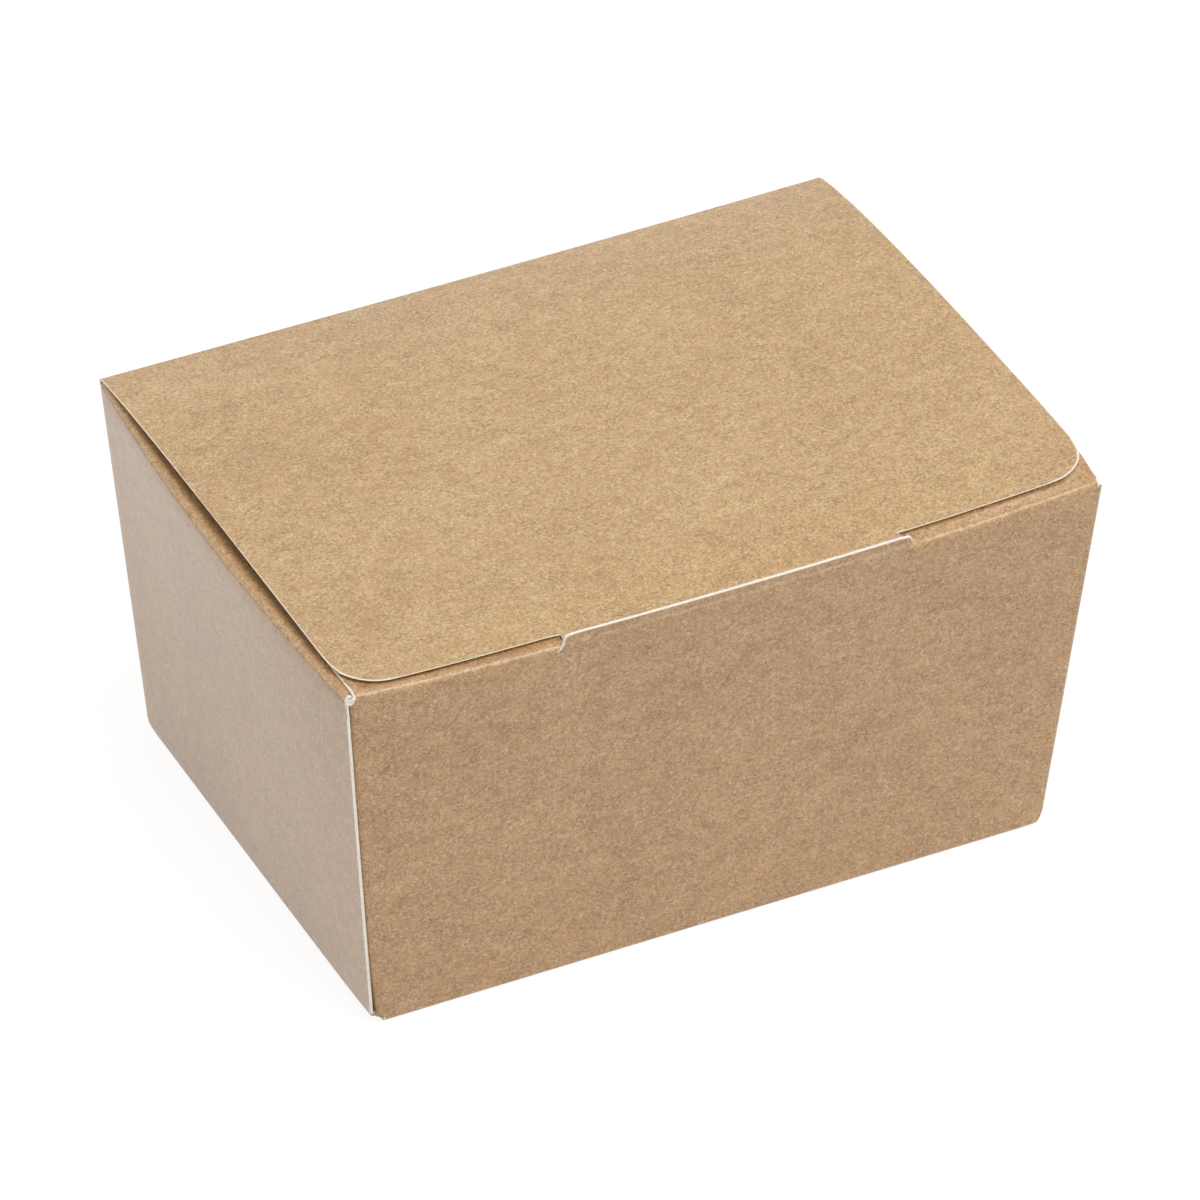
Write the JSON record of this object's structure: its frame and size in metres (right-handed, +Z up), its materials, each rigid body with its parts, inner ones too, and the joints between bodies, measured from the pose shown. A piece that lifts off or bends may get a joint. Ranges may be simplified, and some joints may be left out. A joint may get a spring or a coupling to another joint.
{
  "type": "tuck-in carton",
  "caption": "Small plain kraft-board carton with walls that narrow to the base, closed by a hinged lid whose tongue tucks into a slit behind a lip.",
  "frame": {"origin": "centre of the underside of the base", "axes": "+X to the right along the front wall, the front with the slit faces -Y, +Z up"},
  "size_m": [0.1447, 0.1041, 0.0776],
  "materials": {
    "kraft_board": "matte",
    "kraft_lid": "matte"
  },
  "bodies": {
    "carton": {"carton": "kraft_board"},
    "lid": {"lid": "kraft_lid"}
  },
  "joints": [
    {"name": "lid_hinge", "type": "hinge", "parent": "carton", "child": "lid", "pos_m": [0, 0.051, 0.07387], "axis": [-1, 0, 0], "range_deg": [0, 210]}
  ]
}
